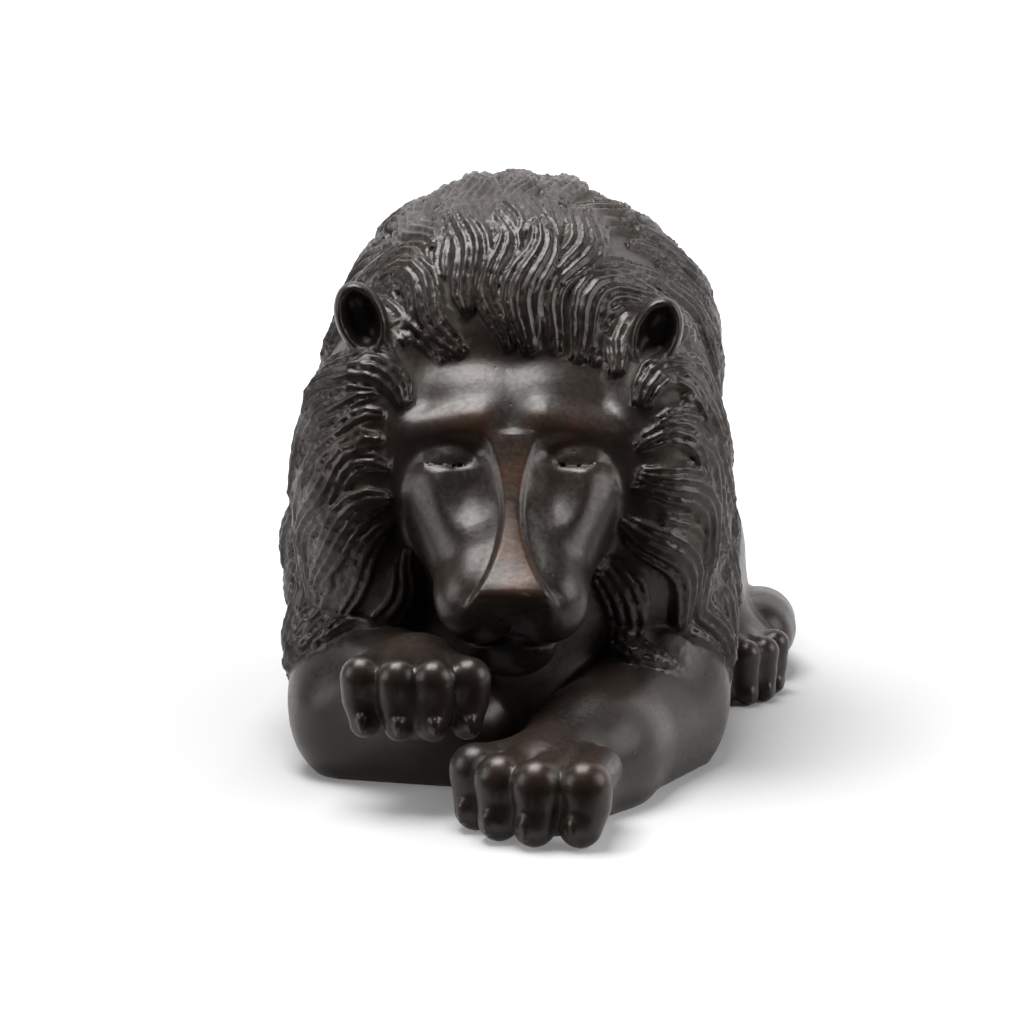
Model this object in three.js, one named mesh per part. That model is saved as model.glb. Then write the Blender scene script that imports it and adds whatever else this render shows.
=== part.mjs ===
// A resting lion in cast bronze: it lies flat, its head lowered over crossed forepaws and its tail
// laid round its left haunch. The figure is one casting, so it is one solid with a flat underside.
// Millimetres, +Z up. The head faces -Y and the lion's own left is +X.
// The origin is the middle of the underside of the bounding box.
import * as THREE from "three";

// Driving dimensions
const figureHeight = 130; // floor to the top of the mane
const headTurn = 9; // degrees that the head and forelegs are turned to the lion's left
const faceLean = 36; // degrees that the face leans back from upright
const forePawPitch = 8.5; // from one toe to the next
const hindPawPitch = 5.9;
const pawHeight = 16.6;
const earHeight = 17;
const tailRadius = 6.2;
const lockWidth = 10.5; // one lock of the mane
const lockLength = 38;
const lockRelief = 3.8; // how far a lock stands out of the mane
const lockWave = 2; // sideways swing of a lock
const lockWaveLength = 27;
const fineStep = 1.5; // sampling of the head and paws before they are simplified
const coarseStep = 2.8; // and of the rump
const triangleTarget = 9700;

// Landmarks are written for a figure 130 mm tall and keep their share of its height.
const draft = figureHeight / 130;
const scaled = (values) => values.map((value) => value * draft);
const { clamp, lerp, smoothstep, degToRad } = THREE.MathUtils;

// Solids are signed distances: negative inside, in millimetres.

function egg(centre, radii) {
  const [cx, cy, cz] = scaled(centre);
  const [rx, ry, rz] = scaled(radii);
  return (x, y, z) => {
    const px = (x - cx) / rx;
    const py = (y - cy) / ry;
    const pz = (z - cz) / rz;
    const far = Math.sqrt(px * px + py * py + pz * pz);
    const slope = Math.sqrt((px / rx) ** 2 + (py / ry) ** 2 + (pz / rz) ** 2);
    return slope > 1e-9 ? (far * (far - 1)) / slope : -Math.min(rx, ry, rz);
  };
}

// A round limb that tapers from one point to another.
function limb(from, fromRadius, to, toRadius) {
  const [ax, ay, az] = scaled(from);
  const [bx, by, bz] = scaled(to);
  const [ra, rb] = scaled([fromRadius, toRadius]);
  const dx = bx - ax;
  const dy = by - ay;
  const dz = bz - az;
  const squared = dx * dx + dy * dy + dz * dz;
  return (x, y, z) => {
    const px = x - ax;
    const py = y - ay;
    const pz = z - az;
    const along = clamp((px * dx + py * dy + pz * dz) / squared, 0, 1);
    const ex = px - along * dx;
    const ey = py - along * dy;
    const ez = pz - along * dz;
    return Math.sqrt(ex * ex + ey * ey + ez * ez) - ra - along * (rb - ra);
  };
}

function softMin(a, b, softness) {
  const near = Math.max(softness - Math.abs(a - b), 0) / softness;
  return Math.min(a, b) - near * near * softness * 0.25;
}

const softMax = (a, b, softness) => -softMin(-a, -b, softness);

// Solids melted into each other over a few millimetres.
function melt(softness, ...parts) {
  return (x, y, z) => {
    let depth = parts[0](x, y, z);
    for (let i = 1; i < parts.length; i++) depth = softMin(depth, parts[i](x, y, z), softness * draft);
    return depth;
  };
}

function carve(softness, solid, ...cutters) {
  return (x, y, z) => {
    let depth = solid(x, y, z);
    for (const cutter of cutters) depth = softMax(depth, -cutter(x, y, z), softness * draft);
    return depth;
  };
}

// The same solid on both sides of the plane x = 0.
const bothSides = (solid) => (x, y, z) => solid(Math.abs(x), y, z);

// Away from a ball round the solid, the distance to the ball stands in for the solid's own.
function within(centre, radius, solid) {
  const ball = egg(centre, [radius, radius, radius]);
  return (x, y, z) => {
    const outside = ball(x, y, z);
    return outside > 16 * draft ? outside : solid(x, y, z);
  };
}

// Frames

const chestY = 75 * draft; // the head and forelegs turn about this place on the midline
const turnCos = Math.cos(degToRad(headTurn));
const turnSin = Math.sin(degToRad(headTurn));

function intoFore(solid) {
  return (x, y, z) => solid(x * turnCos + (y - chestY) * turnSin, chestY - x * turnSin + (y - chestY) * turnCos, z);
}

function foreToBody(across, back, z) {
  return new THREE.Vector3(
    across * turnCos - (back - chestY) * turnSin,
    chestY + across * turnSin + (back - chestY) * turnCos,
    z,
  );
}

// The face's own frame: across, up along the face from nose to hairline, and out of the face.
const [faceY, faceZ] = scaled([55, 67.5]);
const leanCos = Math.cos(degToRad(faceLean));
const leanSin = Math.sin(degToRad(faceLean));

function intoFace(solid) {
  return (x, y, z) => {
    const back = y - faceY;
    const rise = z - faceZ;
    return solid(x, back * leanSin + rise * leanCos, rise * leanSin - back * leanCos);
  };
}

const faceToFore = (across, up, out) => [
  across,
  faceY + up * leanSin - out * leanCos,
  faceZ + up * leanCos + out * leanSin,
];

// Four toes side by side, each bent down over its knuckle; the one at the place called lead is in front.
function paw({ tip, heading, lift = 0, height, pitch, lead, bend, reach, taper = 0.92 }) {
  const ahead = [Math.sin(degToRad(heading)), -Math.cos(degToRad(heading))];
  const spacing = pitch / draft;
  const top = height / draft;
  const radius = spacing * 0.53;
  const toes = [];
  for (let i = 0; i < 4; i++) {
    const at = (back, rise, spread = 1) => {
      const aside = (i - 1.5) * spacing * spread;
      const behind = bend * (i - lead) ** 2 + back;
      return [
        tip[0] - ahead[1] * aside - ahead[0] * behind,
        tip[1] + ahead[0] * aside - ahead[1] * behind,
        lift + rise,
      ];
    };
    const nail = at(radius * 1.1, radius * taper, 0.97);
    const knuckle = at(radius * 1.25, top - radius);
    const root = at(radius + reach, top - radius * 1.15, 0.8);
    const toe = melt(2, limb(nail, radius * taper, knuckle, radius), limb(knuckle, radius, root, radius * 1.05));
    toes.push(carve(1.2, toe, limb(at(-0.6, top * 0.47), 0.9, at(-0.6, top * 0.45), 0.9)));
  }
  return melt(1, ...toes);
}

// Body and hindquarters

const torso = melt(
  14,
  egg([0, 122, 46], [37, 58, 42]),
  egg([0, 152, 58], [36, 46, 37]),
  egg([0, 184, 42], [32, 50, 37]),
  egg([0, 222, 37], [34, 42, 39]),
  egg([0, 150, 18], [30, 92, 30]),
);

function hindLeg(side, kneeY) {
  const thigh = egg([23, 190, 27], [20.5, 40, 30]);
  const knee = egg([30, kneeY + 8, 22], [13.5, 17, 18]);
  const shank = limb([33, kneeY + 12, 18], 12, [33, 222, 10], 9.5);
  const foot = melt(
    4,
    limb([36, 218, 8], 8.5, [45, kneeY + 14, 8.5], 7.5),
    limb([45, kneeY + 14, 8.5], 7.5, [47, kneeY + 3, 8.5], 7),
  );
  const leg = within([33, 188, 20], 52, melt(7, thigh, knee, shank, foot));
  return (x, y, z) => leg(side * x, y, z);
}

const hindPaw = (tip, heading, lead) =>
  within(
    [...tip, 8],
    20,
    paw({ tip, heading, height: pawHeight * 0.95, pitch: hindPawPitch, lead, bend: 2.3, reach: 13 }),
  );

function tail() {
  const route = new THREE.CatmullRomCurve3(
    [
      [0, 252, 38],
      [5, 259, 22],
      [14, 252, 9],
      [27, 243, 7.5],
      [39, 228, 7.5],
      [46, 208, 9],
      [47.5, 190, 12],
      [47.5, 176, 11],
    ].map((point) => new THREE.Vector3(...point)),
  );
  const steps = 16;
  const radiusAt = (t) => (tailRadius / draft) * (1.2 - 0.3 * t + 0.6 * smoothstep(t, 0.7, 0.93));
  const links = [];
  for (let i = 0; i < steps; i++) {
    const from = route.getPoint(i / steps).toArray();
    const to = route.getPoint((i + 1) / steps).toArray();
    links.push(limb(from, radiusAt(i / steps), to, radiusAt((i + 1) / steps)));
  }
  return within([28, 215, 15], 62, melt(1.5, ...links));
}

const body = melt(
  2,
  melt(5, torso, hindLeg(1, 152), hindLeg(-1, 156)),
  melt(3, hindPaw([51.5, 139], 25, 0.8), hindPaw([-43, 145], -10, 1.5)),
  tail(),
);

// Forelegs, in the turned frame

const rightForeleg = melt(
  7,
  limb([-29, 108, 46], 22, [-31, 80, 18], 17),
  limb([-33, 68, 11.5], 15, [-12, 62, 9], 13),
  limb([-31, 74, 17], 15, [-20, 48, 22], 11),
);
const rightPaw = melt(
  2.5,
  paw({
    tip: [-19, 25],
    heading: 4,
    lift: 15.2,
    height: pawHeight,
    pitch: forePawPitch * 0.85,
    lead: 1.9,
    bend: 1.3,
    reach: 13,
    taper: 0.8,
  }),
  limb([-19, 37, 22.5], 8.6, [-20, 48, 23], 11),
);
const leftForeleg = melt(
  7,
  limb([29, 108, 46], 22, [29, 82, 20], 18),
  limb([29.5, 78, 11], 18, [17, 44, 9.5], 13),
  limb([17, 44, 9.5], 13, [6, 22, 7], 11.5),
);
const leftPaw = paw({
  tip: [-1.8, 3.4],
  heading: -30,
  height: pawHeight + 0.4,
  pitch: forePawPitch,
  lead: 1.6,
  bend: 2.1,
  reach: 15,
});

// Mane and head, in the turned frame

const maneMass = melt(
  9,
  egg([0, 100, 86], [36, 30, 34.5]),
  egg([0, 124, 81], [42, 40, 46]),
  egg([12, 126, 84], [36, 34, 36]),
  bothSides(egg([29, 86, 59], [17.5, 27, 38])),
  egg([0, 84, 44], [30, 24, 28]),
  egg([0, 88, 16], [28, 30, 26]),
);

// The flat bridge of the nose, narrowest halfway down, with crisp edges.
function noseBridge(x, up, out) {
  const fromWaist = up / draft + 9.5;
  const halfWidth = (1.9 + 0.0133 * fromWaist ** 2) * draft;
  const top = (-0.2 + 0.0042 * fromWaist ** 2) * draft;
  const side = Math.abs(x) - halfWidth - 0.4 * (top - out);
  const ends = Math.max(up - 9 * draft, -30.5 * draft - up - 0.35 * (top - out), -4 * draft - out);
  return softMax(softMax(0.85 * side, out - top, 1.2 * draft), ends, 2 * draft);
}

function face() {
  const skull = melt(
    6,
    egg([0, 13, -20], [24, 21, 20.5]),
    bothSides(limb([12.5, 0, -12.5], 12, [7, -19, -11], 9)),
    bothSides(egg([7, -27, -9], [8.6, 8, 8.8])),
    limb([0, 6, -12], 11, [0, -22, -12], 10),
  );
  const forehead = bothSides(egg([6, 19, -12], [19, 12.5, 13.6]));
  const brows = bothSides(limb([7, 11.6, -1.8], 4.4, [19, 11.2, -4.8], 4.8));
  const chin = egg([0, -31, -20], [9.5, 6.5, 8]);
  const sockets = bothSides(egg([13, 4.2, 1.2], [9, 4.8, 6.6]));
  const hollows = bothSides(egg([9.5, -5, 4], [5.6, 9.5, 6.6]));
  const lids = bothSides(egg([13.2, 5.8, -6.4], [6, 3.2, 3.6]));
  const mouth = bothSides(limb([0, -34.5, -10.5], 1.2, [12, -31, -17], 1.4));
  const carved = carve(2.5, melt(3, melt(5, skull, forehead), chin), hollows);
  const browed = carve(1.2, melt(1.6, carved, brows), sockets);
  return within([0, 0, -12], 34, carve(1, melt(1.2, browed, melt(0.8, noseBridge, lids)), mouth));
}

const earCentres = [
  [30.8, 73, 94.3],
  [-32.2, 73, 97.6],
];

function ear(side) {
  const lean = degToRad(20);
  const tall = earHeight / draft / 2;
  const cup = carve(1, egg([0, 0, 0], [tall * 0.66, 5.6, tall]), egg([0, -4.4, 0.3], [tall * 0.48, 5.6, tall * 0.8]));
  const centre = earCentres[side > 0 ? 0 : 1];
  const [cx, cy, cz] = scaled(centre);
  const turned = (x, y, z) => {
    const across = side * (x - cx);
    const up = z - cz;
    const outward = across * Math.cos(lean) - up * Math.sin(lean);
    return cup(outward, y - cy, across * Math.sin(lean) + up * Math.cos(lean));
  };
  return within(centre, 12, turned);
}

const ears = melt(1, ear(1), ear(-1));
const foreparts = melt(
  1.5,
  melt(2, maneMass, intoFace(face())),
  within([10, 60, 25], 75, melt(2, leftForeleg, leftPaw)),
  within([-28, 65, 25], 65, melt(1.5, rightForeleg, rightPaw)),
  ears,
);
const figure = melt(5, body, intoFore(foreparts));

// The mane's locks: each follows the lie of the hair over the surface, swinging from side to side.

function slopeAt(solid, p, probe = 0.5) {
  return new THREE.Vector3(
    solid(p.x + probe, p.y, p.z) - solid(p.x - probe, p.y, p.z),
    solid(p.x, p.y + probe, p.z) - solid(p.x, p.y - probe, p.z),
    solid(p.x, p.y, p.z + probe) - solid(p.x, p.y, p.z - probe),
  ).normalize();
}

const noseAt = foreToBody(...faceToFore(0, -20 * draft, 8 * draft));

// The lie of the hair: away from the nose, over the crown to the back, and down the sides.
function lieOfHair(p, combed) {
  const normal = slopeAt(figure, p);
  const way = p.clone().sub(noseAt).normalize();
  const aside = Math.abs(p.x * turnCos + (p.y - chestY) * turnSin);
  const hangs = Math.max(smoothstep(aside / draft, 12, 32), 1 - smoothstep(p.z / draft, 50, 80));
  way.y += 0.5 * smoothstep(normal.z, 0.2, 0.6);
  way.z -= hangs * (0.4 + 1.5 * smoothstep(combed / draft, 2, 30));
  way.addScaledVector(normal, -way.dot(normal)).normalize();
  return { normal, way };
}

// One step along the hair, kept on the surface.
function combOn(p, way, distance) {
  p.addScaledVector(way, distance);
  return p.addScaledVector(slopeAt(figure, p), -figure(p.x, p.y, p.z));
}

// Half of the hair's edge round the face, from the forehead to beside the chin: across and up.
const hairEdge = new THREE.CatmullRomCurve3(
  [
    [0, 30],
    [13, 29],
    [21.5, 24],
    [25.5, 12],
    [25.5, -4],
    [20, -17],
    [17, -28],
    [13.5, -38],
  ].map(([across, up]) => new THREE.Vector3(across * draft, up * draft, -8 * draft)),
).getPoints(60);
const edgeInBody = hairEdge.flatMap(({ x, y, z }) => [
  foreToBody(...faceToFore(x, y, z)),
  foreToBody(...faceToFore(-x, y, z)),
]);
const earsInBody = earCentres.map((centre) => foreToBody(...scaled(centre)));
const nearest = (p, places) => Math.min(...places.map((place) => p.distanceTo(place))) / draft;

function inMane(p) {
  const hem = lerp(47, 68, smoothstep(p.y / draft, 92, 160)) * draft;
  const across = Math.abs(p.x * turnCos + (p.y - chestY) * turnSin);
  const back = chestY - p.x * turnSin + (p.y - chestY) * turnCos - faceY;
  const up = back * leanSin + (p.z - faceZ) * leanCos;
  const out = (p.z - faceZ) * leanSin - back * leanCos;
  const edge = hairEdge.findLast((point) => point.y > up);
  const onFace = edge !== undefined && across < edge.x && out > -13 * draft;
  return p.z > hem && p.y < 172 * draft && !onFace && nearest(p, earsInBody) > 10;
}

// Locks take root at places spread evenly over the mane, in a scattered order, wherever there is room.
function layOutLocks() {
  const count = 4000;
  const centre = foreToBody(...scaled([0, 108, 72]));
  const places = [];
  for (let n = 0; n < count; n++) {
    const number = ((n * 1597) % count) + 0.5;
    const ray = new THREE.Vector3().setFromSphericalCoords(
      1,
      Math.acos(1 - (2 * number) / count),
      number * Math.PI * (3 - Math.sqrt(5)),
    );
    const root = centre.clone().addScaledVector(ray, 95 * draft);
    for (let march = 0; march < 30; march++) root.addScaledVector(ray, -0.85 * figure(root.x, root.y, root.z));
    if (Math.abs(figure(root.x, root.y, root.z)) > 0.5 || !inMane(root)) continue;
    const combed = nearest(root, edgeInBody) * draft;
    places.push({ root, combed, ...lieOfHair(root, combed) });
  }
  const locks = [];
  for (const place of places) {
    const side = new THREE.Vector3().crossVectors(place.way, place.normal);
    const crowded = locks.some(({ root }) => {
      const apart = place.root.clone().sub(root);
      const alongHair = apart.dot(place.way) / (lockLength * 0.42);
      return Math.hypot(alongHair, apart.dot(side) / (lockWidth * 0.75), apart.dot(place.normal) / lockWidth) < 1;
    });
    if (!crowded) locks.push(place);
  }
  return locks;
}

// The path of a lock: points with the half width and the height of the lock there.
function lockPath({ root, combed }, number) {
  const steps = 8;
  const stride = lockLength / steps;
  const middle = root.clone();
  const path = [];
  for (let i = 0; i <= steps; i++) {
    const share = i / steps;
    const { normal, way } = lieOfHair(middle, combed + i * stride);
    const side = new THREE.Vector3().crossVectors(way, normal);
    const phase = ((combed + i * stride) / lockWaveLength) * 2 * Math.PI + 1.2 * Math.sin(number * 2.4);
    const swell = Math.sin(Math.PI * (0.16 + 0.8 * share ** 0.8));
    const lift = (0.45 + 0.55 * share) * Math.min(1, 0.15 + 4 * (1 - share));
    const point = middle.clone().addScaledVector(side, lockWave * Math.sin(phase));
    const free = smoothstep(nearest(point, earsInBody), 7, 13) * smoothstep(point.z / draft, 14, 24);
    path.push({
      point,
      normal,
      halfWidth: lockWidth * 0.5 * Math.max(0.2, swell),
      height: lockRelief * Math.max(0.12, lift * free),
    });
    combOn(middle, way, stride);
  }
  return path;
}

// Sampled form: a grid that is finer at the head and paws.

function sampleGrid(low, high) {
  const axes = low.map((start, axis) => {
    const places = [start];
    while (places.at(-1) < high[axis]) {
      const toRump = axis === 1 ? smoothstep(places.at(-1) / draft, 95, 170) : 0;
      places.push(places.at(-1) + lerp(fineStep, coarseStep, toRump));
    }
    return places;
  });
  const [nx, ny, nz] = axes.map((places) => places.length);
  const values = new Float32Array(nx * ny * nz);
  return { axes, counts: [nx, ny, nz], values, index: (i, j, k) => i + nx * (j + ny * k) };
}

// The exact distance is taken only in blocks that the surface can pass through.
function fillWithFigure({ axes, counts, values, index }) {
  const block = 4;
  const [xs, ys, zs] = axes;
  const middle = (places, start) => places[Math.min(start + block / 2, places.length - 1)];
  for (let k0 = 0; k0 < counts[2]; k0 += block) {
    for (let j0 = 0; j0 < counts[1]; j0 += block) {
      for (let i0 = 0; i0 < counts[0]; i0 += block) {
        const coarse = figure(middle(xs, i0), middle(ys, j0), middle(zs, k0));
        const far = Math.abs(coarse) > coarseStep * block;
        for (let k = k0; k < Math.min(k0 + block, counts[2]); k++) {
          for (let j = j0; j < Math.min(j0 + block, counts[1]); j++) {
            for (let i = i0; i < Math.min(i0 + block, counts[0]); i++) {
              values[index(i, j, k)] = far ? coarse : figure(xs[i], ys[j], zs[k]);
            }
          }
        }
      }
    }
  }
}

// Adds one stretch of a lock, a flattened limb, to the sampled form.
function addStretch({ axes, values, index }, a, b) {
  const run = b.point.clone().sub(a.point);
  const length = run.length();
  const side = new THREE.Vector3().crossVectors(run, a.normal).normalize();
  const box = new THREE.Box3().setFromPoints([a.point, b.point]).expandByScalar(a.halfWidth + fineStep * 2);
  const [is, js, ks] = ["x", "y", "z"].map((axis, n) => {
    const first = axes[n].findIndex((place) => place > box.min[axis]);
    const after = axes[n].findIndex((place) => place > box.max[axis]);
    return [Math.max(first, 0), after < 0 ? axes[n].length : after];
  });
  const p = new THREE.Vector3();
  for (let k = ks[0]; k < ks[1]; k++) {
    for (let j = js[0]; j < js[1]; j++) {
      for (let i = is[0]; i < is[1]; i++) {
        p.set(axes[0][i], axes[1][j], axes[2][k]).sub(a.point);
        const along = clamp(p.dot(run) / (length * length), 0, 1);
        p.addScaledVector(run, -along);
        const height = lerp(a.height, b.height, along);
        const across = p.dot(side) / lerp(a.halfWidth, b.halfWidth, along);
        const depth = (Math.hypot(across, p.dot(a.normal) / height, p.dot(run) / length / height) - 1) * height;
        const n = index(i, j, k);
        values[n] = softMin(values[n], depth, 0.7);
      }
    }
  }
}

// The second layer of samples lies on the floor, and everything under it is empty.
function cutAtFloor({ counts, values }) {
  values.fill(1e3, 0, counts[0] * counts[1]);
}

// Marching tetrahedra: six to a cell, so the surface is always closed.
function surfaceOf({ axes, counts, values, index }) {
  const [nx, ny, nz] = counts;
  const axisOrders = [
    [1, 2, 4],
    [2, 4, 1],
    [4, 1, 2],
    [2, 1, 4],
    [1, 4, 2],
    [4, 2, 1],
  ];
  const tetrahedra = axisOrders.map(([a, b], n) => {
    const steps = [0, a, a + b, 7];
    return n < 3 ? steps : [steps[1], steps[0], steps[2], steps[3]];
  });
  const offsets = [];
  for (let corner = 0; corner < 8; corner++) offsets.push(index(corner & 1, (corner >> 1) & 1, corner >> 2));
  const vertexOnEdge = new Int32Array(nx * ny * nz * 8);
  const points = [];
  const triangles = [];

  function vertexBetween(base, a, b) {
    const [low, high] = a < b ? [a, b] : [b, a];
    const from = base + offsets[low];
    const key = from * 8 + (high - low);
    if (vertexOnEdge[key] === 0) {
      const most = from < nx * ny ? 0.98 : 0.95;
      const share = clamp(values[from] / (values[from] - values[base + offsets[high]]), 0.05, most);
      const home = [from % nx, Math.floor(from / nx) % ny, Math.floor(from / (nx * ny))];
      const step = high - low;
      points.push(
        home.map((n, axis) => ((step >> axis) & 1 ? lerp(axes[axis][n], axes[axis][n + 1], share) : axes[axis][n])),
      );
      vertexOnEdge[key] = points.length;
    }
    return vertexOnEdge[key] - 1;
  }

  // The corners of a tetrahedron are in right-handed order, and stay so when they are sorted in pairs.
  function cross(base, tetrahedron) {
    const order = [...tetrahedron];
    const inside = (n) => values[base + offsets[order[n]]] < 0;
    let turned = false;
    for (let pass = 0; pass < 3; pass++) {
      for (let n = 0; n < 3; n++) {
        if (!inside(n) && inside(n + 1)) {
          [order[n], order[n + 1]] = [order[n + 1], order[n]];
          turned = !turned;
        }
      }
    }
    const depth = order.filter((corner, n) => inside(n)).length;
    const v = (a, b) => vertexBetween(base, order[a], order[b]);
    const add = (a, b, c) => triangles.push(a, ...(turned ? [c, b] : [b, c]));
    if (depth === 1) add(v(0, 1), v(0, 2), v(0, 3));
    if (depth === 3) add(v(0, 3), v(1, 3), v(2, 3));
    if (depth === 2) {
      add(v(0, 2), v(0, 3), v(1, 3));
      add(v(0, 2), v(1, 3), v(1, 2));
    }
  }

  for (let k = 0; k < nz - 1; k++) {
    for (let j = 0; j < ny - 1; j++) {
      for (let i = 0; i < nx - 1; i++) {
        const base = index(i, j, k);
        const count = offsets.reduce((sum, offset) => sum + (values[base + offset] < 0), 0);
        if (count === 0 || count === 8) continue;
        for (const tetrahedron of tetrahedra) cross(base, tetrahedron);
      }
    }
  }
  return { points, triangles };
}

// Simplification: edges collapse in order of the least harm to the form.

// Sum of squared distances to the planes round a vertex, as the ten terms of a symmetric form.
function addPlane(quadric, at, normal, offset, weight) {
  const terms = [normal.x, normal.y, normal.z, offset];
  let n = at * 10;
  for (let i = 0; i < 4; i++) for (let j = i; j < 4; j++) quadric[n++] += weight * terms[i] * terms[j];
}

function quadricError(q, [x, y, z]) {
  return (
    q[0] * x * x + 2 * q[1] * x * y + 2 * q[2] * x * z + 2 * q[3] * x +
    q[4] * y * y + 2 * q[5] * y * z + 2 * q[6] * y + q[7] * z * z + 2 * q[8] * z + q[9]
  );
}

function simplify({ points, triangles }, target) {
  const faces = [];
  for (let n = 0; n < triangles.length; n += 3) faces.push(triangles.slice(n, n + 3));
  const facesOf = points.map(() => new Set());
  faces.forEach((face, n) => face.forEach((v) => facesOf[v].add(n)));
  const quadrics = new Float64Array(points.length * 10);
  const areas = new Float64Array(points.length);
  const stamps = new Int32Array(points.length);
  const triangle = new THREE.Triangle();
  const normal = new THREE.Vector3();
  const corner = (slot, v) => slot.set(...points[v]);
  for (const face of faces) {
    corner(triangle.a, face[0]);
    corner(triangle.b, face[1]);
    corner(triangle.c, face[2]);
    triangle.getNormal(normal);
    const area = triangle.getArea();
    for (const v of face) {
      addPlane(quadrics, v, normal, -normal.dot(triangle.a), area);
      areas[v] += area;
    }
  }

  const onFloor = (v) => points[v][2] === 0;
  // Places for the joined vertex of an edge, the least harmful first.
  function collapses(a, b) {
    const q = [];
    for (let n = 0; n < 10; n++) q.push(quadrics[a * 10 + n] + quadrics[b * 10 + n]);
    const middle = points[a].map((v, axis) => (v + points[b][axis]) / 2);
    let choices = [points[a], points[b], middle];
    if (onFloor(a) !== onFloor(b)) choices = [points[onFloor(a) ? a : b]];
    else if (!onFloor(a)) {
      const matrix = new THREE.Matrix3().set(q[0], q[1], q[2], q[1], q[4], q[5], q[2], q[5], q[7]);
      const size = q[0] + q[4] + q[7];
      if (Math.abs(matrix.determinant()) > 1e-4 * size ** 3) {
        choices.push(new THREE.Vector3(-q[3], -q[6], -q[8]).applyMatrix3(matrix.invert()).toArray());
      }
    }
    const span = Math.hypot(...points[a].map((v, axis) => v - points[b][axis]));
    choices = choices.filter((at) => at[2] >= 0);
    const share = careAt(middle) / (areas[a] + areas[b]) ** 0.8;
    const scored = choices.map((at) => ({ at, cost: share * (quadricError(q, at) + 1e-4 * span ** 3) }));
    return scored.sort((one, other) => one.cost - other.cost);
  }

  const heap = [];
  function push(entry) {
    let n = heap.length;
    while (n > 0) {
      const parent = (n - 1) >> 1;
      if (heap[parent].cost <= entry.cost) break;
      heap[n] = heap[parent];
      n = parent;
    }
    heap[n] = entry;
  }
  function pop() {
    const top = heap[0];
    const entry = heap.pop();
    let n = 0;
    while (heap.length > 2 * n + 1) {
      let child = 2 * n + 1;
      if (child + 1 < heap.length && heap[child + 1].cost < heap[child].cost) child++;
      if (heap[child].cost >= entry.cost) break;
      heap[n] = heap[child];
      n = child;
    }
    if (heap.length > 0) heap[n] = entry;
    return top;
  }
  const pushEdge = (a, b) => push({ a, b, stamp: stamps[a] + stamps[b], cost: collapses(a, b)[0].cost });

  function neighbours(v) {
    const near = new Set();
    for (const n of facesOf[v]) for (const other of faces[n]) if (other !== v) near.add(other);
    return near;
  }

  // True when no triangle that stays would turn over or become a sliver.
  function staysFair(moved, gone, at) {
    for (const n of facesOf[moved]) {
      const face = faces[n];
      if (face.includes(gone)) continue;
      corner(triangle.a, face[0]);
      corner(triangle.b, face[1]);
      corner(triangle.c, face[2]);
      const before = triangle.getNormal(new THREE.Vector3());
      [triangle.a, triangle.b, triangle.c][face.indexOf(moved)].set(...at);
      const after = triangle.getNormal(new THREE.Vector3());
      const longest = Math.max(
        triangle.a.distanceToSquared(triangle.b),
        triangle.b.distanceToSquared(triangle.c),
        triangle.c.distanceToSquared(triangle.a),
      );
      if (triangle.getArea() < 0.008 * longest) return false;
      if (before.dot(after) < 0.1) return false;
    }
    return true;
  }

  // A collapse that is refused may be fair later, so the edges are gone through again.
  let left = faces.length;
  for (let round = 0; left > target && round < 20; round++) {
    faces.forEach((face, n) => {
      if (!facesOf[face[0]].has(n)) return;
      face.forEach((v, at) => v < face[(at + 1) % 3] && pushEdge(v, face[(at + 1) % 3]));
    });
    while (left > target && heap.length > 0) {
      const { a, b, stamp } = pop();
      if (stamp !== stamps[a] + stamps[b] || facesOf[a].size === 0 || facesOf[b].size === 0) continue;
      const nearA = neighbours(a);
      const shared = [...neighbours(b)].filter((v) => nearA.has(v));
      if (shared.length !== 2) continue;
      const fair = collapses(a, b).find(({ at }) => staysFair(a, b, at) && staysFair(b, a, at));
      if (fair === undefined) continue;
      for (const n of [...facesOf[b]]) {
        if (faces[n].includes(a)) {
          faces[n].forEach((v) => facesOf[v].delete(n));
          left--;
        } else {
          faces[n][faces[n].indexOf(b)] = a;
          facesOf[a].add(n);
        }
      }
      facesOf[b].clear();
      points[a] = fair.at;
      for (let n = 0; n < 10; n++) quadrics[a * 10 + n] += quadrics[b * 10 + n];
      areas[a] += areas[b];
      stamps[a] += stamps[b] + 1;
      stamps[b] = -1e9;
      for (const v of neighbours(a)) pushEdge(a, v);
    }
    heap.length = 0;
  }
  const kept = new Set(facesOf.flatMap((around) => [...around]));
  return { points, triangles: [...kept].flatMap((n) => faces[n]) };
}

// The face and forepaws keep more triangles than the back.
function careAt(point) {
  return 1 + 6 * (1 - smoothstep(point[1] / draft, 50, 105));
}

// Assembly

function castFigure() {
  const grid = sampleGrid([-64 * draft, -8 * draft, -fineStep], scaled([70, 276, 136]));
  fillWithFigure(grid);
  const locks = layOutLocks();
  locks.forEach((lock, number) => {
    const path = lockPath(lock, number);
    for (let i = 0; i + 1 < path.length; i++) addStretch(grid, path[i], path[i + 1]);
  });
  cutAtFloor(grid);
  const surface = surfaceOf(grid);
  for (const point of surface.points) point[2] = Math.max(point[2], 0);
  const { points, triangles } = simplify(surface, triangleTarget);
  const used = [...new Set(triangles)];
  const renumbered = new Map(used.map((v, n) => [v, n]));
  const geometry = new THREE.BufferGeometry();
  geometry.setAttribute("position", new THREE.Float32BufferAttribute(used.flatMap((v) => points[v]), 3));
  geometry.setIndex(triangles.map((v) => renumbered.get(v)));
  geometry.computeBoundingBox();
  const { min, max } = geometry.boundingBox;
  geometry.translate(-(min.x + max.x) / 2, -(min.y + max.y) / 2, 0);
  geometry.computeVertexNormals();
  return geometry;
}

const bronze = new THREE.MeshStandardMaterial({ color: 0x3a281b, roughness: 0.45, metalness: 0.85 });
const lion = new THREE.Mesh(castFigure(), bronze);
lion.name = "lion";
const group = new THREE.Group();
group.add(lion);
export default group;
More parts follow.
